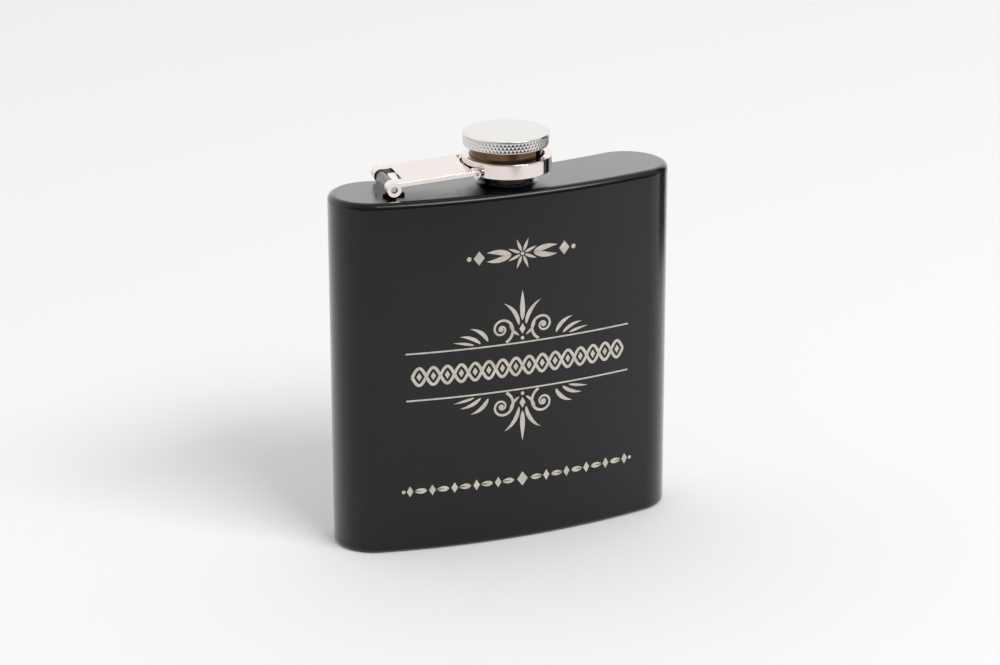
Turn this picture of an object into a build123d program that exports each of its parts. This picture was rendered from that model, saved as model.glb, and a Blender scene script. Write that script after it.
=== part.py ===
from build123d import *
from math import asin, cos, radians, sin
import os

# Curved pocket flask with a captive screw cap. Millimetres, +Z up.
# The origin is on the flat underside, straight below the axis of the neck.
# The convex face looks towards -Y and the hinge of the closure is on the -X side.

# ---- Driving dimensions ----

BODY_WIDTH = 94.0
BODY_HEIGHT = 95.9
BODY_DEPTH = 22.2
BEND_RADIUS = 163.0        # radius of the middle of the bent body
WALL = 0.6
PLATE_THICKNESS = 0.8
TOP_EDGE_RADIUS = 1.6
BOTTOM_EDGE_RADIUS = 1.2
TOP_RIM_DEPTH = 3.0        # turned-down rim of the top plate
BOTTOM_RIM_DEPTH = 2.5
RIM_INSET = 0.4            # the rims' inside stands this much further in than the wall's

NECK_BORE_RADIUS = 6.2
NECK_RADIUS = 7.3
NECK_HEIGHT = 10.0
NECK_FOOT_RADIUS = 8.4
NECK_SPIGOT_RADIUS = 6.95
NECK_SPIGOT_DEPTH = 1.3
THREAD_PITCH = 1.5
THREAD_DEPTH = 0.45
THREAD_ROOT = 1.0          # height of a thread turn where it meets the wall
THREAD_CREST = 0.2         # height of its flat crest
THREAD_SINK = 0.1          # how far a turn reaches into the wall that carries it
THREAD_FOOT = 5.2          # height of the lowest thread turn over the top plate
THREAD_TURNS = 2
NECK_RIM_FILLET = 0.3

CLOSURE_YAW = 5.6          # the arm points from the neck to the middle of the bent body
HINGE_DISTANCE = 32.1      # cap axis to hinge pin
HINGE_HEIGHT = 2.65
HINGE_PIN_RADIUS = 0.84
HINGE_PIN_RECESS = 0.5     # how far each end of the hinge pin sits inside its knuckle
HINGE_KNUCKLE_RADIUS = 1.85
RUNNING_CLEARANCE = 0.04
STATIC_CLEARANCE = 0.02
PIN_CHAMFER = 0.15
RING_PIN_CHAMFER = 0.1

ARM_WIDTH = 16.8
ARM_THICKNESS = 1.3
ARM_TOP = 1.72             # top face over the line of the hinge pin
ARM_RISE = 3.8             # degrees, rising towards the cap
ARM_HINGE_EAR = 3.4        # width of each knuckle at the hinge end
ARM_HINGE_NOTCH = 3.0      # from the hinge pin to the end of the notch
ARM_EDGE_FILLET = 0.15
ARM_PRONG = 1.2            # thickness of the fork's prongs beside the ring
ARM_PRONG_RADIUS = 1.0     # rounded end of each prong, about the ring pin
ARM_FORK_RADIUS = 12.2     # hollow of the fork round the captive ring
ARM_FORK_GAP = 0.25        # between the fork and the bosses of the ring
CUTTER_REACH = 10.0        # generous length and height of the cutters of the arm

RING_PIN_DISTANCE = 10.2   # cap axis to ring pins
RING_PIN_HEIGHT = 4.87
RING_PIN_RADIUS = 0.45
RING_PIN_ROOT = 5.2        # inner end of each ring pin from the middle of the arm
RING_PIN_RECESS = 0.15

RING_SHIFT = 0.2           # the captive ring hangs loose, a little away from the hinge
RING_RADIUS = 11.7
RING_BOTTOM = 3.45
RING_TOP = 7.5
RING_LIP_RADIUS = 9.85
RING_LIP = 0.8
RING_POCKET_RADIUS = 10.75
RING_BOSS_RADIUS = 0.95    # bosses on the ring's flanks that carry the pins
RING_BOSS_ROOT = 5.0
RING_BOSS_FACE = 7.1
RING_FILLET = 0.3

CAP_RADIUS = 11.3
CAP_KNURL_RADIUS = 11.15
CAP_UNDERSIDE = 10.1
CAP_TOP = 13.4
CAP_TOP_THICKNESS = 0.8
CAP_LIP = 0.35
CAP_SHELL_WALL = 0.6
CAP_TOP_BEVEL = 0.2        # width of the bevel round the cap's top face
CAP_TOP_BEVEL_DEPTH = 0.15
CAP_LIP_SLOPE = 0.1
CAP_FOOT_BEVEL = 0.25
SKIRT_RADIUS = 9.5
SKIRT_BOTTOM = 3.6
SKIRT_BORE_RADIUS = 8.8
CAP_CEILING = 11.3
INSERT_RECESS = 0.2        # the insert's head stands this much inside the shell

RETAINER_RADIUS = 10.3
RETAINER_GROOVE_RADIUS = 9.2
RETAINER_HEIGHT = 0.7
RETAINER_GAP = 0.1
RETAINER_CHAMFER = 0.12

GASKET_RADIUS = 8.5
GASKET_GAP = 0.05
GASKET_FILLET = 0.3

BRACKET_WIDTH = 9.6
BRACKET_THICKNESS = 0.8
BRACKET_RADIUS = 1.45
BRACKET_BACK = 2.2         # foot behind the hinge pin
BRACKET_FRONT = 3.6        # foot in front of the hinge pin

# ---- Frames of the closure ----
# Closure heights are over the top plate. Along the closure, positive runs from
# the hinge to the cap and 0 is the axis of the neck.

yaw = radians(CLOSURE_YAW)
along = Vector(cos(yaw), -sin(yaw), 0)
across = Vector(sin(yaw), cos(yaw), 0)
up = Vector(0, 0, 1)
top_centre = Vector(0, 0, BODY_HEIGHT)
rise = radians(ARM_RISE)

closure_side = Plane(origin=top_centre, x_dir=along, z_dir=across * -1)
hinge_centre = top_centre + along * -HINGE_DISTANCE + up * HINGE_HEIGHT
arm_side = Plane(origin=hinge_centre, x_dir=along * cos(rise) + up * sin(rise), z_dir=across * -1)
ring_pin_centre = top_centre + along * -RING_PIN_DISTANCE + up * RING_PIN_HEIGHT
ring_pin_local = arm_side.to_local_coords(ring_pin_centre)
hinge_side = Plane(origin=hinge_centre, x_dir=along, z_dir=across * -1)
ring_pin_side = Plane(origin=ring_pin_centre, x_dir=along, z_dir=across * -1)
ring_axis = Axis(top_centre + along * RING_SHIFT, (0, 0, 1))
arm_direction = Axis(hinge_centre, arm_side.x_dir)
fork_plane = Plane(origin=top_centre + along * RING_SHIFT, x_dir=along, z_dir=up)

os.makedirs("parts", exist_ok=True)


def bent_section(inset, height):
    """Section of the bent body, drawn inset from its outside at a height."""
    half_depth = BODY_DEPTH / 2 - inset
    half_angle = asin((BODY_WIDTH - BODY_DEPTH) / 2 / BEND_RADIUS)

    def point(angle, radius):
        return (radius * sin(angle), BEND_RADIUS - radius * cos(angle))

    outer = BEND_RADIUS + half_depth
    inner = BEND_RADIUS - half_depth
    end_reach = (BODY_WIDTH - BODY_DEPTH) / 2 + half_depth * cos(half_angle)
    end_y = BEND_RADIUS * (1 - cos(half_angle)) + half_depth * sin(half_angle)
    with BuildSketch(Plane.XY.offset(height)) as section:
        with BuildLine():
            ThreePointArc(point(-half_angle, outer), point(0, outer), point(half_angle, outer))
            ThreePointArc(point(half_angle, outer), (end_reach, end_y), point(half_angle, inner))
            ThreePointArc(point(half_angle, inner), point(0, inner), point(-half_angle, inner))
            ThreePointArc(point(-half_angle, inner), (-end_reach, end_y), point(-half_angle, outer))
        make_face()
    return section.sketch


def thread_turn(wall_radius, outward, foot):
    """Outline of one thread turn on a wall, pointing outwards (1) or inwards (-1)."""
    root = wall_radius - outward * THREAD_SINK
    crest = wall_radius + outward * THREAD_DEPTH
    flank = (THREAD_ROOT - THREAD_CREST) / 2
    return [
        (root, foot - THREAD_SINK),
        (crest, foot + flank),
        (crest, foot + flank + THREAD_CREST),
        (root, foot + THREAD_ROOT + THREAD_SINK),
    ]


# ---- Body ----

wall_foot = BOTTOM_RIM_DEPTH
wall_top = BODY_HEIGHT - TOP_RIM_DEPTH

with BuildPart() as side_wall:
    extrude(bent_section(0, wall_foot), amount=wall_top - wall_foot)
    extrude(bent_section(WALL, wall_foot), amount=wall_top - wall_foot, mode=Mode.SUBTRACT)
side_wall.part.label = "side_wall"
export_step(side_wall.part, "parts/side_wall.step")

with BuildPart() as top_plate:
    extrude(bent_section(0, wall_top), amount=TOP_RIM_DEPTH)
    fillet(top_plate.faces().sort_by(Axis.Z)[-1].edges(), radius=TOP_EDGE_RADIUS)
    rim_depth = TOP_RIM_DEPTH - PLATE_THICKNESS
    extrude(bent_section(WALL + RIM_INSET, wall_top), amount=rim_depth, mode=Mode.SUBTRACT)
    with Locations((0, 0, BODY_HEIGHT)):
        Hole(NECK_SPIGOT_RADIUS + STATIC_CLEARANCE, depth=PLATE_THICKNESS)
top_plate.part.label = "top_plate"
export_step(top_plate.part, "parts/top_plate.step")

with BuildPart() as bottom_plate:
    extrude(bent_section(0, 0), amount=BOTTOM_RIM_DEPTH)
    fillet(bottom_plate.faces().sort_by(Axis.Z)[0].edges(), radius=BOTTOM_EDGE_RADIUS)
    rim_depth = BOTTOM_RIM_DEPTH - PLATE_THICKNESS
    extrude(bent_section(WALL + RIM_INSET, PLATE_THICKNESS), amount=rim_depth, mode=Mode.SUBTRACT)
bottom_plate.part.label = "bottom_plate"
export_step(bottom_plate.part, "parts/bottom_plate.step")

# The neck stands on the top plate on a rounded foot. Its spigot goes through the
# plate's hole. The thread's turns are rings here, at the thread's true diameters.
with BuildPart() as neck:
    foot_width = NECK_FOOT_RADIUS - NECK_RADIUS
    with BuildSketch(closure_side):
        with BuildLine():
            Polyline(
                (NECK_RADIUS, foot_width),
                (NECK_RADIUS, NECK_HEIGHT),
                (NECK_BORE_RADIUS, NECK_HEIGHT),
                (NECK_BORE_RADIUS, -NECK_SPIGOT_DEPTH),
                (NECK_SPIGOT_RADIUS, -NECK_SPIGOT_DEPTH),
                (NECK_SPIGOT_RADIUS, 0),
                (NECK_FOOT_RADIUS, 0),
            )
            RadiusArc((NECK_RADIUS, foot_width), (NECK_FOOT_RADIUS, 0), -foot_width)
        make_face()
        for turn in range(THREAD_TURNS):
            foot = THREAD_FOOT + turn * THREAD_PITCH
            with BuildLine():
                Polyline(*thread_turn(NECK_RADIUS, 1, foot), close=True)
            make_face()
    revolve(axis=Axis(top_centre, (0, 0, 1)))
    rim = neck.edges().filter_by(GeomType.CIRCLE).group_by(Axis.Z)[-1]
    fillet(rim, radius=NECK_RIM_FILLET)
neck.part.label = "neck"
export_step(neck.part, "parts/neck.step")

# Strip rolled into a barrel for the pin and welded to the top plate by its foot.
with BuildPart() as hinge_bracket:
    with BuildSketch(hinge_side):
        foot_centre = (BRACKET_FRONT - BRACKET_BACK) / 2
        with Locations((foot_centre, BRACKET_THICKNESS / 2 - HINGE_HEIGHT)):
            Rectangle(BRACKET_BACK + BRACKET_FRONT, BRACKET_THICKNESS)
        Circle(BRACKET_RADIUS)
        with Locations((0, -HINGE_HEIGHT / 2)):
            Rectangle(2 * BRACKET_RADIUS, HINGE_HEIGHT)
        Circle(HINGE_PIN_RADIUS + STATIC_CLEARANCE, mode=Mode.SUBTRACT)
    extrude(amount=BRACKET_WIDTH / 2, both=True)
hinge_bracket.part.label = "hinge_bracket"
export_step(hinge_bracket.part, "parts/hinge_bracket.step")

with BuildPart() as hinge_pin:
    with BuildSketch(hinge_side):
        Circle(HINGE_PIN_RADIUS)
    extrude(amount=ARM_WIDTH / 2 - HINGE_PIN_RECESS, both=True)
    chamfer(hinge_pin.edges().filter_by(GeomType.CIRCLE), length=PIN_CHAMFER)
hinge_pin.part.label = "hinge_pin"
export_step(hinge_pin.part, "parts/hinge_pin.step")

# ---- Arm ----
# A flat strip with two knuckles on the hinge pin. Its other end is a fork whose two
# prongs carry the ring's pins.

with BuildPart() as arm:
    with BuildSketch(arm_side):
        with Locations((ring_pin_local.X / 2, ARM_TOP - ARM_THICKNESS / 2)):
            Rectangle(ring_pin_local.X, ARM_THICKNESS)
        Circle(HINGE_KNUCKLE_RADIUS)
        with Locations((ring_pin_local.X, ring_pin_local.Y)):
            Circle(ARM_PRONG_RADIUS)
    extrude(amount=ARM_WIDTH / 2, both=True)
    long_edges = arm.edges().filter_by(GeomType.LINE).filter_by(arm_direction)
    fillet(long_edges, radius=ARM_EDGE_FILLET)
    with BuildSketch(arm_side):
        with Locations((ARM_HINGE_NOTCH - CUTTER_REACH / 2, 0)):
            Rectangle(CUTTER_REACH, CUTTER_REACH)
    extrude(amount=ARM_WIDTH / 2 - ARM_HINGE_EAR, both=True, mode=Mode.SUBTRACT)
    with BuildSketch(fork_plane):
        Circle(ARM_FORK_RADIUS)
        boss_back = RING_SHIFT + RING_PIN_DISTANCE + RING_BOSS_RADIUS + ARM_FORK_GAP
        with Locations((CUTTER_REACH / 2 - boss_back, 0)):
            Rectangle(CUTTER_REACH, ARM_WIDTH)
        Rectangle(2 * ARM_FORK_RADIUS, ARM_WIDTH - 2 * ARM_PRONG, mode=Mode.INTERSECT)
    extrude(amount=CUTTER_REACH, mode=Mode.SUBTRACT)
    with BuildSketch(arm_side):
        Circle(HINGE_PIN_RADIUS + RUNNING_CLEARANCE)
        with Locations((ring_pin_local.X, ring_pin_local.Y)):
            Circle(RING_PIN_RADIUS + STATIC_CLEARANCE)
    extrude(amount=ARM_WIDTH, both=True, mode=Mode.SUBTRACT)
arm.part.label = "arm"
export_step(arm.part, "parts/arm.step")

ring_pin_length = ARM_WIDTH / 2 - RING_PIN_RECESS - RING_PIN_ROOT
for side, name in ((1, "ring_pin_front"), (-1, "ring_pin_back")):
    with BuildPart() as ring_pin:
        with BuildSketch(ring_pin_side.offset(side * RING_PIN_ROOT)):
            Circle(RING_PIN_RADIUS)
        extrude(amount=side * ring_pin_length)
        chamfer(ring_pin.edges().filter_by(GeomType.CIRCLE), length=RING_PIN_CHAMFER)
    ring_pin.part.label = name
    export_step(ring_pin.part, f"parts/{name}.step")

# ---- Captive ring ----
# The lip at the top keeps the cap's retaining ring inside the pocket.

with BuildPart() as captive_ring:
    with BuildSketch(Plane.XY.offset(BODY_HEIGHT + RING_BOTTOM)):
        with Locations(along * RING_SHIFT):
            Circle(RING_RADIUS)
    extrude(amount=RING_TOP - RING_BOTTOM)
    outer_edges = captive_ring.edges().filter_by(GeomType.CIRCLE)
    fillet(outer_edges, radius=RING_FILLET)
    for side in (1, -1):
        with BuildSketch(ring_pin_side.offset(side * RING_BOSS_ROOT)):
            Circle(RING_BOSS_RADIUS)
        extrude(amount=side * (RING_BOSS_FACE - RING_BOSS_ROOT))
    with BuildSketch(closure_side):
        pocket_top = RING_TOP - RING_LIP
        pocket_edge = RING_SHIFT + RING_POCKET_RADIUS
        lip_edge = RING_SHIFT + RING_LIP_RADIUS
        with BuildLine():
            Polyline(
                (RING_SHIFT, 0),
                (pocket_edge, 0),
                (pocket_edge, pocket_top),
                (lip_edge, pocket_top),
                (lip_edge, CAP_TOP),
                (RING_SHIFT, CAP_TOP),
                close=True,
            )
        make_face()
    revolve(axis=ring_axis, mode=Mode.SUBTRACT)
    for side in (1, -1):
        with BuildSketch(ring_pin_side.offset(side * (RING_PIN_ROOT - RUNNING_CLEARANCE))):
            Circle(RING_PIN_RADIUS + RUNNING_CLEARANCE)
        extrude(amount=side * ARM_WIDTH, mode=Mode.SUBTRACT)
captive_ring.part.label = "captive_ring"
export_step(captive_ring.part, "parts/captive_ring.step")

# ---- Cap ----

cap_axis = Axis(top_centre, (0, 0, 1))
shell_inner_radius = CAP_KNURL_RADIUS - CAP_SHELL_WALL
shell_ceiling = CAP_TOP - CAP_TOP_THICKNESS

with BuildPart() as cap_shell:
    with BuildSketch(closure_side):
        with BuildLine():
            Polyline(
                (0, CAP_TOP),
                (CAP_RADIUS - CAP_TOP_BEVEL, CAP_TOP),
                (CAP_RADIUS, CAP_TOP - CAP_TOP_BEVEL_DEPTH),
                (CAP_RADIUS, CAP_TOP - CAP_LIP),
                (CAP_KNURL_RADIUS, CAP_TOP - CAP_LIP - CAP_LIP_SLOPE),
                (CAP_KNURL_RADIUS, CAP_UNDERSIDE + CAP_FOOT_BEVEL),
                (CAP_KNURL_RADIUS - CAP_FOOT_BEVEL, CAP_UNDERSIDE),
                (shell_inner_radius, CAP_UNDERSIDE),
                (shell_inner_radius, shell_ceiling),
                (0, shell_ceiling),
                close=True,
            )
        make_face()
    revolve(axis=cap_axis)
cap_shell.part.label = "cap_shell"
export_step(cap_shell.part, "parts/cap_shell.step")

# Threaded insert: its head fills the knurled shell and its skirt passes through the ring.
with BuildPart() as cap_insert:
    with BuildSketch(closure_side):
        with BuildLine():
            Polyline(
                (0, shell_ceiling),
                (shell_inner_radius - STATIC_CLEARANCE, shell_ceiling),
                (shell_inner_radius - STATIC_CLEARANCE, CAP_UNDERSIDE + INSERT_RECESS),
                (SKIRT_RADIUS, CAP_UNDERSIDE + INSERT_RECESS),
                (SKIRT_RADIUS, SKIRT_BOTTOM + RETAINER_HEIGHT + RETAINER_GAP),
                (RETAINER_GROOVE_RADIUS, SKIRT_BOTTOM + RETAINER_HEIGHT + RETAINER_GAP),
                (RETAINER_GROOVE_RADIUS, SKIRT_BOTTOM),
                (SKIRT_BORE_RADIUS, SKIRT_BOTTOM),
                (SKIRT_BORE_RADIUS, CAP_CEILING),
                (0, CAP_CEILING),
                close=True,
            )
        make_face()
        for turn in range(THREAD_TURNS):
            foot = THREAD_FOOT - THREAD_PITCH / 2 + turn * THREAD_PITCH
            with BuildLine():
                Polyline(*thread_turn(SKIRT_BORE_RADIUS, -1, foot), close=True)
            make_face()
    revolve(axis=cap_axis)
cap_insert.part.label = "cap_insert"
export_step(cap_insert.part, "parts/cap_insert.step")

with BuildPart() as cap_retaining_ring:
    with BuildSketch(Plane.XY.offset(BODY_HEIGHT + SKIRT_BOTTOM)):
        Circle(RETAINER_RADIUS)
        Circle(RETAINER_GROOVE_RADIUS + STATIC_CLEARANCE, mode=Mode.SUBTRACT)
    extrude(amount=RETAINER_HEIGHT)
    chamfer(cap_retaining_ring.edges().filter_by(GeomType.CIRCLE), length=RETAINER_CHAMFER)
cap_retaining_ring.part.label = "cap_retaining_ring"
export_step(cap_retaining_ring.part, "parts/cap_retaining_ring.step")

gasket_foot = NECK_HEIGHT + GASKET_GAP
with BuildPart() as cap_gasket:
    with BuildSketch(Plane.XY.offset(BODY_HEIGHT + gasket_foot)):
        Circle(GASKET_RADIUS)
    extrude(amount=CAP_CEILING - GASKET_GAP - gasket_foot)
    fillet(cap_gasket.edges().filter_by(GeomType.CIRCLE), radius=GASKET_FILLET)
cap_gasket.part.label = "cap_gasket"
export_step(cap_gasket.part, "parts/cap_gasket.step")
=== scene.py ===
from math import ceil, cos, hypot, pi, radians, sin, tau

import bmesh
import bpy
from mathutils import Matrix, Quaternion, Vector


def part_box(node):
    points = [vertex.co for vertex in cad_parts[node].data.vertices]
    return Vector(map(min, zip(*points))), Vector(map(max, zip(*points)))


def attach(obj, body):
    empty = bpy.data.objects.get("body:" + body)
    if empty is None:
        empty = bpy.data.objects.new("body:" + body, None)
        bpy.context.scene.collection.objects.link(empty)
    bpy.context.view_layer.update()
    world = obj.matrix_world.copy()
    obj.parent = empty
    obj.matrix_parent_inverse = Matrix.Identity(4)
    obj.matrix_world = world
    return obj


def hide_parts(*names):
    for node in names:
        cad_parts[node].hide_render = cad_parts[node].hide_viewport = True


# A curved hip flask with a captive screw cap. Lengths are metres in the row frame;
# values that end in MM are millimetres, and MM turns them into metres.

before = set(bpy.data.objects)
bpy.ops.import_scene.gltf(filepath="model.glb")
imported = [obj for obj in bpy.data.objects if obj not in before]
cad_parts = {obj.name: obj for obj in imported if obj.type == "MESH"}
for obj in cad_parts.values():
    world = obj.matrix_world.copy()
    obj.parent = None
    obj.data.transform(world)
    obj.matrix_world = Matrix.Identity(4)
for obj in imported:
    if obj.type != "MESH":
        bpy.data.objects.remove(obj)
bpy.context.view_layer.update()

MM = 0.001

# ---- Camera ----

CAMERA_AZIMUTH = -22.457
CAMERA_ELEVATION = 19.469
CAMERA_ROLL = -0.116
CAMERA_DISTANCE = 0.8422
CAMERA_LENS = 115.26
CAMERA_TARGET = Vector((-0.00175, 0, 0.0544))

# ---- Sizes read from the frame ----

wall_low, wall_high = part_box("side_wall")

HALF_DEPTH = -wall_low.y
BEND_RISE = wall_high.y + wall_low.y
HALF_CHORD = wall_high.x + wall_low.y
BEND_RADIUS = (HALF_CHORD**2 + BEND_RISE**2) / (2 * BEND_RISE)
FRONT_RADIUS = BEND_RADIUS + HALF_DEPTH
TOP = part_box("top_plate")[1].z

# ---- Closure sizes, as in the CAD; heights are over the top plate ----

NECK_BORE_MM = 6.2
NECK_OUTER_MM = 7.3
NECK_FOOT_MM = 8.4
NECK_SPIGOT_MM = 6.95
SPIGOT_DEPTH_MM = 1.3
NECK_HEIGHT_MM = 10.0
NECK_RIM_MM = 0.3

SKIRT_OUTER_MM = 9.5
SKIRT_BORE_MM = 8.8
SKIRT_FOOT_MM = 3.6
GROOVE_MM = 9.2
GROOVE_TOP_MM = 4.4
HEAD_OUTER_MM = 10.53
HEAD_FOOT_MM = 10.3
CEILING_MM = 11.3

CAP_OUTER_MM = 11.3
CAP_KNURL_MM = 11.15
CAP_TOP_MM = 13.4
CAP_FOOT_MM = 10.1
CAP_WALL_MM = 0.6
CAP_PLATE_MM = 0.8

THREAD_PITCH_MM = 1.5
THREAD_DEPTH_MM = 0.45
THREAD_TURNS = 1.8

# ---- Mesh helpers ----


def make_object(name, vertices, faces, body, smooth_below=35):
    """A mesh piece on a CAD body, smooth where its faces meet under the given angle."""
    mesh = bpy.data.meshes.new(name)
    mesh.from_pydata(vertices, [], faces)
    work = bmesh.new()
    work.from_mesh(mesh)
    bmesh.ops.remove_doubles(work, verts=work.verts, dist=1e-7)
    bmesh.ops.recalc_face_normals(work, faces=work.faces)
    work.to_mesh(mesh)
    work.free()
    mesh.shade_smooth()
    mesh.set_sharp_from_angle(angle=radians(smooth_below))
    piece = bpy.data.objects.new(name, mesh)
    bpy.context.scene.collection.objects.link(piece)
    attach(piece, body)
    return piece


def revolve(name, outline, sides, body, closed=True):
    """Turns an outline about the cap's axis. outline(angle) gives (radius, height) in mm."""
    columns = [outline(tau * i / sides) for i in range(sides)]
    count = len(columns[0])
    vertices = []
    for i, column in enumerate(columns):
        angle = tau * i / sides
        for radius, height in column:
            reach = radius * MM
            vertices.append((reach * cos(angle), reach * sin(angle), TOP + height * MM))
    faces = []
    steps = count if closed else count - 1
    for i in range(sides):
        here, there = i * count, (i + 1) % sides * count
        for j in range(steps):
            k = (j + 1) % count
            faces.append((here + j, there + j, there + k, here + k))
    return make_object(name, vertices, faces, body)


def arc(centre, radius, start, end, steps):
    """Points of an arc in an outline, from start to end degrees, both ends included."""
    points = []
    for i in range(steps + 1):
        angle = radians(start + (end - start) * i / steps)
        points.append((centre[0] + radius * cos(angle), centre[1] + radius * sin(angle)))
    return points


def rows(low, high, step):
    """Heights from low to high, both included, about step apart."""
    count = ceil(abs(high - low) / step)
    return [low + (high - low) * i / count for i in range(count + 1)]


def ridge(angle, height, first):
    """How far the helical thread stands out at an angle and height, from 0 to its depth."""
    half_root, half_crest, run_out = 0.5, 0.12, 0.12
    most = 0
    for turn in range(ceil(THREAD_TURNS)):
        travelled = angle / tau + turn
        if travelled > THREAD_TURNS:
            continue
        centre = first + THREAD_PITCH_MM * travelled
        flank = (half_root - abs(height - centre)) / (half_root - half_crest)
        ends = min(travelled, THREAD_TURNS - travelled) / run_out
        most = max(most, min(1, max(0, flank)) * min(1, ends))
    return THREAD_DEPTH_MM * most


# ---- Neck, insert and cap shell ----


def neck_outline(angle):
    first = 5.4
    foot = NECK_FOOT_MM - NECK_OUTER_MM
    points = [(NECK_BORE_MM, -SPIGOT_DEPTH_MM), (NECK_SPIGOT_MM, -SPIGOT_DEPTH_MM)]
    points += [(NECK_SPIGOT_MM, 0), (NECK_FOOT_MM, 0)]
    points += arc((NECK_FOOT_MM, foot), foot, 268, 182, 8)
    for height in rows(foot, NECK_HEIGHT_MM - NECK_RIM_MM, 0.1):
        points.append((NECK_OUTER_MM + ridge(angle, height, first), height))
    rim = NECK_HEIGHT_MM - NECK_RIM_MM
    points += arc((NECK_OUTER_MM - NECK_RIM_MM, rim), NECK_RIM_MM, 15, 90, 5)
    points += arc((NECK_BORE_MM + NECK_RIM_MM, rim), NECK_RIM_MM, 90, 180, 6)
    return points


def insert_outline(angle):
    first = 4.65
    head_top = CAP_TOP_MM - CAP_PLATE_MM
    corner = 0.25
    points = [(0, head_top), (HEAD_OUTER_MM, head_top), (HEAD_OUTER_MM, HEAD_FOOT_MM)]
    points += arc((SKIRT_OUTER_MM + corner, HEAD_FOOT_MM - corner), corner, 90, 180, 5)
    points += [(SKIRT_OUTER_MM, height) for height in rows(9.8, GROOVE_TOP_MM, 0.9)]
    points += [(GROOVE_MM, GROOVE_TOP_MM), (GROOVE_MM, SKIRT_FOOT_MM)]
    for height in rows(SKIRT_FOOT_MM, CEILING_MM, 0.1):
        points.append((SKIRT_BORE_MM - ridge(angle, height, first), height))
    points.append((0, CEILING_MM))
    return points


KNURL_COUNT = 68
KNURL_DEPTH_MM = 0.08
KNURL_LEAN = 0.62          # circumferential travel per height
KNURL_TOP_MM = 12.86
KNURL_FOOT_MM = 10.42


def knurl(angle, height):
    """How deep the two crossing sets of grooves are cut at a point, from 0 to 1."""
    pitch = tau * CAP_KNURL_MM / KNURL_COUNT
    deepest = 0
    for lean in (KNURL_LEAN, -KNURL_LEAN):
        place = (angle * CAP_KNURL_MM + lean * (height - KNURL_FOOT_MM)) / pitch
        from_groove = abs(place - round(place))
        deepest = max(deepest, 1 - from_groove / 0.3)
    margin = min(height - KNURL_FOOT_MM, KNURL_TOP_MM - height) / 0.12
    return deepest * min(1, max(0, margin))


def cap_outline(angle):
    inner = CAP_KNURL_MM - CAP_WALL_MM
    ceiling = CAP_TOP_MM - CAP_PLATE_MM
    edge = 0.16
    points = [(radius, CAP_TOP_MM) for radius in rows(0, CAP_OUTER_MM - edge, 1.6)]
    points += arc((CAP_OUTER_MM - edge, CAP_TOP_MM - edge), edge, 80, 0, 5)
    points += [(CAP_OUTER_MM, CAP_TOP_MM - 0.32), (CAP_OUTER_MM - 0.06, CAP_TOP_MM - 0.38)]
    points += [(CAP_KNURL_MM - 0.12, CAP_TOP_MM - 0.43), (CAP_KNURL_MM - 0.12, CAP_TOP_MM - 0.5)]
    for height in rows(KNURL_TOP_MM, KNURL_FOOT_MM, 0.08):
        points.append((CAP_KNURL_MM - KNURL_DEPTH_MM * knurl(angle, height), height))
    points += arc((CAP_KNURL_MM - 0.3, CAP_FOOT_MM + 0.3), 0.3, 0, -90, 5)
    points += [(inner, CAP_FOOT_MM), (inner, ceiling), (0, ceiling)]
    return points


# ---- Etched ornament ----
# Thin steel inlays in the coat of the front wall. Each is drawn flat, in mm: across is
# the distance along the wall from its middle, and height is over the underside.

INLAY_PROUD_MM = 0.012
INLAY_SUNK_MM = 0.06


def on_wall(across, height, proud):
    radius = FRONT_RADIUS + proud * MM
    angle = across * MM / FRONT_RADIUS
    return (radius * sin(angle), BEND_RADIUS - radius * cos(angle), height * MM)


def ribbon(points, widths):
    """A closed flat strip along points, as wide at each point as widths says."""
    count = len(points)
    vertices, faces = [], []
    for i, (across, height) in enumerate(points):
        before, after = points[max(0, i - 1)], points[min(count - 1, i + 1)]
        run = (after[0] - before[0], after[1] - before[1])
        length = hypot(*run) or 1
        side = (-run[1] / length * widths[i] / 2, run[0] / length * widths[i] / 2)
        for sign in (1, -1):
            for proud in (INLAY_PROUD_MM, -INLAY_SUNK_MM):
                vertices.append(on_wall(across + sign * side[0], height + sign * side[1], proud))
    for i in range(count - 1):
        a, b = 4 * i, 4 * i + 4
        faces += [(a, b, b + 2, a + 2), (a + 1, a + 3, b + 3, b + 1)]
        faces += [(a, a + 1, b + 1, b), (a + 2, b + 2, b + 3, a + 3)]
    last = 4 * (count - 1)
    faces += [(0, 2, 3, 1), (last, last + 1, last + 3, last + 2)]
    return vertices, faces


def line(start, end, width):
    count = max(2, ceil(hypot(end[0] - start[0], end[1] - start[1])))
    points = []
    for i in range(count + 1):
        share = i / count
        points.append((start[0] + (end[0] - start[0]) * share, start[1] + (end[1] - start[1]) * share))
    return ribbon(points, [width] * (count + 1))


def bead(across, height, radius):
    points, widths = [], []
    for i in range(17):
        angle = pi * i / 16
        points.append((across - radius * cos(angle), height))
        widths.append(max(0.01, 2 * radius * sin(angle)))
    return ribbon(points, widths)


def lozenge(across, height, half_width, half_height):
    points = [(across + half_width * t, height) for t in (-1, -0.5, 0, 0.5, 1)]
    widths = [max(0.01, 2 * half_height * (1 - abs(t))) for t in (-1, -0.5, 0, 0.5, 1)]
    return ribbon(points, widths)


def leaf(root, heading, length, width, turn):
    """A leaf from its root, bending by turn degrees, widest a third of the way along."""
    count = 22
    points, widths = [], []
    across, height = root
    for i in range(count + 1):
        share = i / count
        points.append((across, height))
        widths.append(max(0.01, width * 2.2 * (share**0.7) * (1 - share) ** 1.15))
        angle = radians(heading + turn * share)
        across += length / count * cos(angle)
        height += length / count * sin(angle)
    return ribbon(points, widths)


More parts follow.
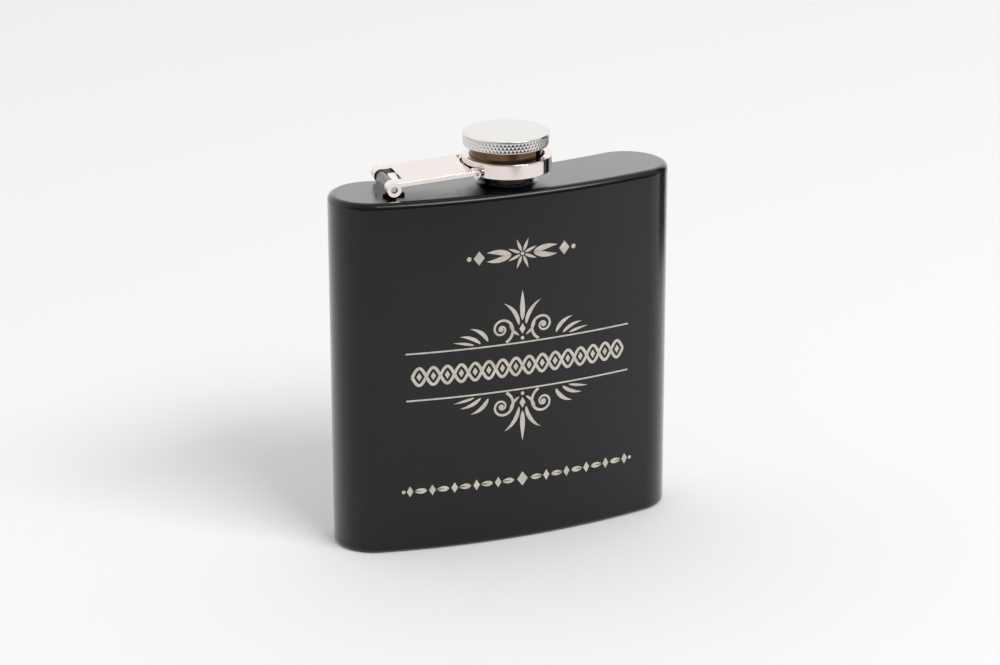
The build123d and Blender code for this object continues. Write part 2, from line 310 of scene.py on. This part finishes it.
def volute(centre, outer, inner, start, turns, thick, thin):
    """A scroll winding in from start degrees; turns below 0 wind clockwise."""
    count = ceil(abs(turns) * 40)
    points, widths = [], []
    for i in range(count + 1):
        share = i / count
        radius = outer * (inner / outer) ** share
        angle = radians(start) + tau * turns * share
        points.append((centre[0] + radius * cos(angle), centre[1] + radius * sin(angle)))
        widths.append(thick + (thin - thick) * share)
    return ribbon(points, widths)


def wave(start, end, height, swing, period, phase, width):
    count = ceil((end - start) / 0.4)
    points = []
    for i in range(count + 1):
        across = start + (end - start) * i / count
        points.append((across, height + swing * sin(tau * (across - start) / period + phase)))
    return ribbon(points, [width] * (count + 1))


def mirrored(strips, about=None):
    """The strips and their mirror images, left to right, or over a height if it is given."""
    made = list(strips)
    for vertices, faces in strips:
        flipped = []
        for x, y, z in vertices:
            flipped.append((-x, y, z) if about is None else (x, y, 2 * about * MM - z))
        made.append((flipped, faces))
    return made


def inlay(name, strips):
    vertices, faces = [], []
    for strip_vertices, strip_faces in strips:
        base = len(vertices)
        vertices += strip_vertices
        faces += [tuple(base + index for index in face) for face in strip_faces]
    mesh = bpy.data.meshes.new(name)
    mesh.from_pydata(vertices, [], faces)
    piece = bpy.data.objects.new(name, mesh)
    bpy.context.scene.collection.objects.link(piece)
    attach(piece, "flask")
    return piece


RULE_UPPER_MM = 55.1
RULE_LOWER_MM = 42.2
RULE_HALF_MM = 31.6
BAND_MIDDLE_MM = 48.65
BADGE_MM = 79.4
FOOTER_MM = 16.9


def crest():
    """Half of the crest that stands on the upper rule; the other half is its mirror image."""
    base = RULE_UPPER_MM + 0.9
    strips = [volute((5.9, base + 3.3), 3.9, 0.5, -110, -1.9, 0.75, 0.35)]
    strips += [leaf((1.0, base + 4.0), 84, 8.0, 1.7, -58), leaf((0.9, base + 1.2), 30, 4.4, 1.1, 40)]
    strips += [leaf((9.6, base + 0.5), 68, 6.6, 1.7, -62), leaf((11.6, base + 0.1), 44, 6.4, 1.5, -44)]
    strips += [leaf((13.4, base - 0.1), 16, 5.8, 1.1, -10)]
    strips += [bead(5.9, base + 3.3, 0.62)]
    return strips


def crest_middle():
    base = RULE_UPPER_MM + 0.9
    strips = [leaf((0, base + 5.2), 90, 8.4, 2.1, 0), lozenge(0, base + 2.9, 0.85, 1.5)]
    strips += [bead(0, base + 0.35, 0.5)]
    return strips


def badge():
    """Half of the small ornament above the crest."""
    strips = [leaf((3.1, BADGE_MM), 24, 7.0, 2.3, -30), leaf((3.1, BADGE_MM), -24, 7.0, 2.3, 30)]
    strips += [lozenge(11.9, BADGE_MM, 1.5, 1.9), bead(14.6, BADGE_MM, 0.62)]
    return strips


def badge_middle():
    strips = []
    for turn in range(8):
        heading = 45 * turn + 22.5
        root = (0.7 * cos(radians(heading)), BADGE_MM + 0.7 * sin(radians(heading)))
        strips.append(leaf(root, heading, 3.6, 1.25, 0))
    strips.append(bead(0, BADGE_MM, 0.5))
    return strips


def band():
    period, swing, reach = 7.5, 2.35, 30.0
    strips = []
    for phase in (0, pi):
        strips.append(wave(-reach, reach, BAND_MIDDLE_MM, swing, period, phase, 0.8))
    for i in range(round(4 * reach / period)):
        across = -reach + period / 4 + period / 2 * i
        strips.append(lozenge(across, BAND_MIDDLE_MM, 0.72, 1.15))
    return strips


def footer():
    """Half of the row near the underside; its middle lozenge is apart."""
    strips = []
    for i in range(1, 6):
        across = 6.0 * i
        strips += [leaf((across - 3.6, FOOTER_MM), 26, 3.4, 1.1, -52)]
        strips += [leaf((across - 3.6, FOOTER_MM), -26, 3.4, 1.1, 52)]
        strips += [lozenge(across + 0.9, FOOTER_MM, 0.9, 1.5)]
    strips += [bead(32.6, FOOTER_MM, 0.5)]
    return strips


# ---- Materials ----


class Nodes:
    """Adds nodes and links to one material or world."""

    def __init__(self, tree):
        self.tree = tree
        tree.nodes.clear()

    def add(self, kind, inputs=None, **settings):
        node = self.tree.nodes.new(kind)
        for name, value in settings.items():
            setattr(node, name, value)
        for name, value in (inputs or {}).items():
            if isinstance(value, bpy.types.NodeSocket):
                self.tree.links.new(value, node.inputs[name])
            else:
                node.inputs[name].default_value = value
        return node

    def noise(self, place, scale, detail=3.0, roughness=0.5):
        settings = {"Vector": place, "Scale": scale, "Detail": detail, "Roughness": roughness}
        return self.add("ShaderNodeTexNoise", settings).outputs["Fac"]

    def remap(self, value, low, high, to_low, to_high):
        settings = {"Value": value, "From Min": low, "From Max": high, "To Min": to_low, "To Max": to_high}
        return self.add("ShaderNodeMapRange", settings).outputs["Result"]

    def math(self, operation, first, second=0.0):
        return self.add("ShaderNodeMath", {0: first, 1: second}, operation=operation).outputs[0]

    def mix(self, factor, first, second):
        node = self.add("ShaderNodeMix", data_type="RGBA")
        for index, value in ((0, factor), (6, first), (7, second)):
            if isinstance(value, bpy.types.NodeSocket):
                self.tree.links.new(value, node.inputs[index])
            else:
                node.inputs[index].default_value = value
        return node.outputs[2]

    def bump(self, height, distance, strength=1.0, normal=None):
        settings = {"Height": height, "Distance": distance, "Strength": strength}
        if normal:
            settings["Normal"] = normal
        return self.add("ShaderNodeBump", settings).outputs["Normal"]


def new_material(name):
    material = bpy.data.materials.new(name)
    material.use_nodes = True
    nodes = Nodes(material.node_tree)
    place = nodes.add("ShaderNodeTexCoord").outputs["Object"]
    return material, nodes, place


def finish_material(nodes, **inputs):
    names = {key.replace("_", " "): value for key, value in inputs.items()}
    shader = nodes.add("ShaderNodeBsdfPrincipled", names)
    nodes.add("ShaderNodeOutputMaterial", {"Surface": shader.outputs["BSDF"]})


def powder_coat():
    """Satin black coat: fine orange peel, slow changes of gloss, faint grey dust."""
    material, nodes, place = new_material("powder_coat")
    grain = nodes.noise(place, 5200, 2)
    peel = nodes.noise(place, 1500, 2)
    cloud = nodes.noise(place, 60, 4, 0.6)
    speck = nodes.remap(nodes.noise(place, 9000, 1), 0.62, 0.78, 0, 1)
    tone = nodes.remap(cloud, 0.3, 0.7, 0, 1)
    colour = nodes.mix(tone, (0.0036, 0.0036, 0.004, 1), (0.0052, 0.0052, 0.0057, 1))
    colour = nodes.mix(nodes.math("MULTIPLY", speck, 0.25), colour, (0.03, 0.03, 0.032, 1))
    rough = nodes.remap(nodes.math("ADD", cloud, nodes.math("MULTIPLY", grain, 0.4)), 0.4, 1.0, 0.24, 0.3)
    normal = nodes.bump(peel, 0.000010, 0.4)
    normal = nodes.bump(grain, 0.000004, 0.4, normal)
    finish_material(
        nodes,
        Base_Color=colour,
        Roughness=rough,
        Normal=normal,
        IOR=1.65,
        Specular_Tint=(0.03, 0.03, 0.03, 1),
        Coat_Weight=1.0,
        Coat_Roughness=0.2,
        Coat_IOR=1.38,
        Coat_Normal=normal,
    )
    return material


def polished_steel(name, colour, low, high):
    """Polished steel with hairlines and a light haze."""
    material, nodes, place = new_material(name)
    stretched = nodes.add("ShaderNodeMapping", {"Vector": place, "Scale": (1.0, 1.0, 14.0)}).outputs[0]
    hairs = nodes.noise(stretched, 1600, 3, 0.65)
    haze = nodes.noise(place, 220, 3)
    darker = tuple(channel * 0.975 for channel in colour) + (1,)
    tint = nodes.mix(nodes.remap(haze, 0.35, 0.65, 0, 1), darker, (*colour, 1))
    rough = nodes.remap(nodes.math("ADD", haze, nodes.math("MULTIPLY", hairs, 0.5)), 0.5, 1.0, low, high)
    normal = nodes.bump(hairs, 0.0000012, 0.4)
    finish_material(nodes, Base_Color=tint, Metallic=1.0, Roughness=rough, Normal=normal)
    return material


def turned_steel(name, colour, low, high):
    """Satin steel with fine concentric turning marks about the cap's axis."""
    material, nodes, place = new_material(name)
    split = nodes.add("ShaderNodeSeparateXYZ", {"Vector": place})
    across = nodes.math("POWER", split.outputs["X"], 2.0)
    deep = nodes.math("POWER", split.outputs["Y"], 2.0)
    radius = nodes.math("SQRT", nodes.math("ADD", across, deep))
    rings_at = nodes.add("ShaderNodeCombineXYZ", {"X": radius, "Y": split.outputs["Z"]}).outputs[0]
    rings = nodes.noise(rings_at, 9000, 2, 0.6)
    haze = nodes.noise(place, 300, 3)
    darker = tuple(channel * 0.975 for channel in colour) + (1,)
    tint = nodes.mix(nodes.remap(haze, 0.35, 0.65, 0, 1), darker, (*colour, 1))
    rough = nodes.remap(nodes.math("ADD", haze, nodes.math("MULTIPLY", rings, 0.6)), 0.5, 1.1, low, high)
    normal = nodes.bump(rings, 0.0000016, 0.5)
    finish_material(nodes, Base_Color=tint, Metallic=1.0, Roughness=rough, Normal=normal)
    return material


def etched_steel():
    """Bare matt steel in the tracks of a marking laser."""
    material, nodes, place = new_material("etched_steel")
    tracks_at = nodes.add("ShaderNodeMapping", {"Vector": place, "Scale": (0.12, 0.12, 1.0)}).outputs[0]
    tracks = nodes.noise(tracks_at, 16000, 2, 0.6)
    blotch = nodes.noise(place, 420, 3)
    colour = nodes.mix(nodes.remap(blotch, 0.3, 0.7, 0, 1), (0.6, 0.55, 0.47, 1), (0.76, 0.715, 0.64, 1))
    colour = nodes.mix(nodes.remap(tracks, 0.3, 0.7, 0.22, 0), colour, (0.3, 0.27, 0.23, 1))
    rough = nodes.remap(tracks, 0.3, 0.7, 0.42, 0.56)
    normal = nodes.bump(tracks, 0.000006, 0.5)
    finish_material(nodes, Base_Color=colour, Metallic=0.55, Roughness=rough, Normal=normal)
    return material


def silicone():
    """Matt white gasket rubber with a faint moulded grain."""
    material, nodes, place = new_material("silicone")
    grain = nodes.noise(place, 2600, 3)
    cloud = nodes.noise(place, 260, 2)
    colour = nodes.mix(nodes.remap(cloud, 0.3, 0.7, 0, 1), (0.66, 0.66, 0.63, 1), (0.76, 0.76, 0.74, 1))
    rough = nodes.remap(grain, 0.3, 0.7, 0.5, 0.66)
    normal = nodes.bump(grain, 0.00001, 0.5)
    finish_material(nodes, Base_Color=colour, Roughness=rough, Normal=normal)
    return material


def paint(obj, material):
    obj.data.materials.clear()
    obj.data.materials.append(material)


# ---- Stage ----

FLOOR_REACH = 6.0
FLOOR_FRONT = 0.36         # the sheet ends here in front, and the room beyond is dark
FLOOR_GAP = 0.00002        # keeps the floor and the underside apart

KEY_PLACE = (0.9, -2.0, 2.15)
KEY_SIZE = (2.0, 0.9)
KEY_POWER = 56.0
LAMP_TARGET = Vector((0, 0, 0.05))

CARD_PLACE = (0.25, 0.035, 0)
CARD_AZIMUTH = 98
CARD_SIZE = (0.13, 0.3)


def make_floor():
    reach, front = FLOOR_REACH, -FLOOR_FRONT
    mesh = bpy.data.meshes.new("floor")
    corners = [(-reach, front, 0), (reach, front, 0), (reach, reach, 0), (-reach, reach, 0)]
    mesh.from_pydata(corners, [], [(0, 1, 2, 3)])
    floor = bpy.data.objects.new("floor", mesh)
    bpy.context.scene.collection.objects.link(floor)
    floor.location.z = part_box("bottom_plate")[0].z - FLOOR_GAP
    material, nodes, place = new_material("floor_paper")
    grain = nodes.noise(place, 900, 2)
    colour = nodes.mix(grain, (0.905, 0.905, 0.903, 1), (0.925, 0.924, 0.92, 1))
    finish_material(nodes, Base_Color=colour, Roughness=0.9)
    paint(floor, material)


def area_lamp(name, place, size, power):
    data = bpy.data.lights.new(name, "AREA")
    data.shape = "RECTANGLE"
    data.size, data.size_y = size
    data.energy = power
    lamp = bpy.data.objects.new(name, data)
    bpy.context.scene.collection.objects.link(lamp)
    lamp.location = place
    direction = LAMP_TARGET - Vector(place)
    lamp.rotation_mode = "QUATERNION"
    lamp.rotation_quaternion = direction.to_track_quat("-Z", "Y")
    return lamp


def dark_card(name, place, azimuth, size):
    """An upright black card that only reflections show, turned towards the flask."""
    width, height = size
    mesh = bpy.data.meshes.new(name)
    corners = [(-width / 2, 0, 0), (width / 2, 0, 0), (width / 2, 0, height), (-width / 2, 0, height)]
    mesh.from_pydata(corners, [], [(0, 1, 2, 3)])
    card = bpy.data.objects.new(name, mesh)
    bpy.context.scene.collection.objects.link(card)
    card.location = place
    card.rotation_euler.z = radians(azimuth)
    card.visible_camera = False
    card.visible_diffuse = False
    card.visible_shadow = False
    material, nodes, surface = new_material(name)
    colour = nodes.mix(nodes.noise(surface, 40), (0.01, 0.01, 0.01, 1), (0.02, 0.02, 0.02, 1))
    finish_material(nodes, Base_Color=colour, Roughness=0.9)
    paint(card, material)


def make_world():
    """Pale behind and overhead, dark low in front; plain white to the camera."""
    world = bpy.data.worlds.new("studio")
    bpy.context.scene.world = world
    world.use_nodes = True
    nodes = Nodes(world.node_tree)
    direction = nodes.add("ShaderNodeTexCoord").outputs["Generated"]
    split = nodes.add("ShaderNodeSeparateXYZ", {"Vector": direction})
    high = nodes.remap(split.outputs["Z"], 0.4, 0.85, 0, 1)
    over_table = nodes.remap(split.outputs["Z"], 0.03, 0.3, 0, 1)
    room = nodes.mix(over_table, (0.02, 0.02, 0.022, 1), (0.42, 0.42, 0.42, 1))
    backdrop = nodes.mix(high, (1.11, 1.11, 1.11, 1), (0.7, 0.7, 0.7, 1))
    back = nodes.remap(split.outputs["Y"], -0.45, 0.15, 0, 1)
    light = nodes.mix(back, room, backdrop)
    to_camera = nodes.add("ShaderNodeLightPath").outputs["Is Camera Ray"]
    colour = nodes.mix(to_camera, light, (0.915, 0.915, 0.91, 1))
    shader = nodes.add("ShaderNodeBackground", {"Color": colour, "Strength": 1.0})
    nodes.add("ShaderNodeOutputWorld", {"Surface": shader.outputs["Background"]})


def make_camera():
    azimuth, elevation = radians(CAMERA_AZIMUTH), radians(CAMERA_ELEVATION)
    back = Vector((sin(azimuth) * cos(elevation), -cos(azimuth) * cos(elevation), sin(elevation)))
    data = bpy.data.cameras.new("camera")
    data.lens = CAMERA_LENS
    data.clip_start, data.clip_end = 0.01, 50
    camera = bpy.data.objects.new("camera", data)
    bpy.context.scene.collection.objects.link(camera)
    camera.location = CAMERA_TARGET + back * CAMERA_DISTANCE
    camera.rotation_mode = "QUATERNION"
    roll = Quaternion((0, 0, 1), radians(CAMERA_ROLL))
    camera.rotation_quaternion = (-back).to_track_quat("-Z", "Y") @ roll
    bpy.context.scene.camera = camera


# ---- Build ----

neck = revolve("neck_threaded", neck_outline, 160, "flask")
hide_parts("neck")
insert = revolve("cap_insert_threaded", insert_outline, 160, "cap", closed=False)
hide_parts("cap_insert")
shell = revolve("cap_shell_knurled", cap_outline, KNURL_COUNT * 12, "cap", closed=False)
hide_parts("cap_shell")

ornament = [
    inlay("etched_badge", mirrored(badge()) + badge_middle()),
    inlay("etched_crest_upper", mirrored(crest()) + crest_middle()),
    inlay("etched_rule_upper", [line((-RULE_HALF_MM, RULE_UPPER_MM), (RULE_HALF_MM, RULE_UPPER_MM), 0.42)]),
    inlay("etched_band", band()),
    inlay("etched_rule_lower", [line((-RULE_HALF_MM, RULE_LOWER_MM), (RULE_HALF_MM, RULE_LOWER_MM), 0.42)]),
    inlay("etched_footer", mirrored(footer()) + [lozenge(0, FOOTER_MM, 1.5, 2.0)]),
]
lower_crest = mirrored(mirrored(crest()) + crest_middle(), BAND_MIDDLE_MM)
ornament.append(inlay("etched_crest_lower", lower_crest[len(lower_crest) // 2:]))

coat = powder_coat()
polished = polished_steel("polished_steel", (0.775, 0.705, 0.668), 0.05, 0.1)
# The insert's steel is given a very dark brown colour: a painted dark reflection with brown glints,
# standing in for what the polished skirt reflects under the cap.
insert_steel_painted_reflection = polished_steel("insert_steel", (0.12, 0.075, 0.042), 0.05, 0.1)
satin = turned_steel("satin_steel", (0.73, 0.712, 0.69), 0.14, 0.24)
pins = turned_steel("pin_steel", (0.62, 0.61, 0.59), 0.2, 0.32)
etched = etched_steel()
rubber = silicone()

for name in ("side_wall", "top_plate", "bottom_plate", "hinge_bracket"):
    paint(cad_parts[name], coat)
for name in ("arm", "captive_ring"):
    paint(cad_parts[name], polished)
for name in ("hinge_pin", "ring_pin_front", "ring_pin_back", "cap_retaining_ring"):
    paint(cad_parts[name], pins)
paint(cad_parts["cap_gasket"], rubber)
paint(neck, coat)
paint(insert, insert_steel_painted_reflection)
paint(shell, satin)
for piece in ornament:
    paint(piece, etched)

make_floor()
make_world()
make_camera()
area_lamp("key_front_right", KEY_PLACE, KEY_SIZE, KEY_POWER)
dark_card("card_right", CARD_PLACE, CARD_AZIMUTH, CARD_SIZE)

bpy.context.scene.view_settings.view_transform = "Standard"
